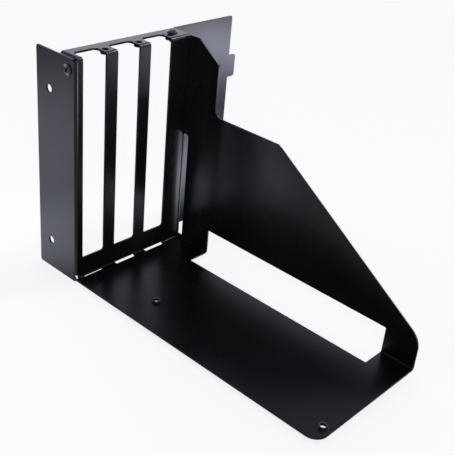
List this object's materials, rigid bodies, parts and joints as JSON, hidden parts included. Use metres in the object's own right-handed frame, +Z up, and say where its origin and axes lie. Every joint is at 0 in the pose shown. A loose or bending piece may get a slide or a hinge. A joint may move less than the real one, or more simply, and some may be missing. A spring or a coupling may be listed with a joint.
{
  "type": "vertical graphics card mount",
  "caption": "Black sheet metal mount that holds a graphics card upright beside its slot windows, with a side plate, a back wall and a rear plate.",
  "frame": {"origin": "centre of the bounding box at the lowest edge of the plates", "axes": "+X along the base, from the slotted panel to the free end; +Y from the side plate to the back wall; +Z up, from the base to the ledge"},
  "size_m": [0.1838, 0.1216, 0.1178],
  "materials": {
    "powder_coat": "satin black powder coat on sheet steel",
    "screw_black": "black coated steel screw"
  },
  "bodies": {
    "root": {"folded_bracket": "powder_coat", "side_screw": "screw_black", "ledge_screw": "screw_black"}
  },
  "joints": []
}
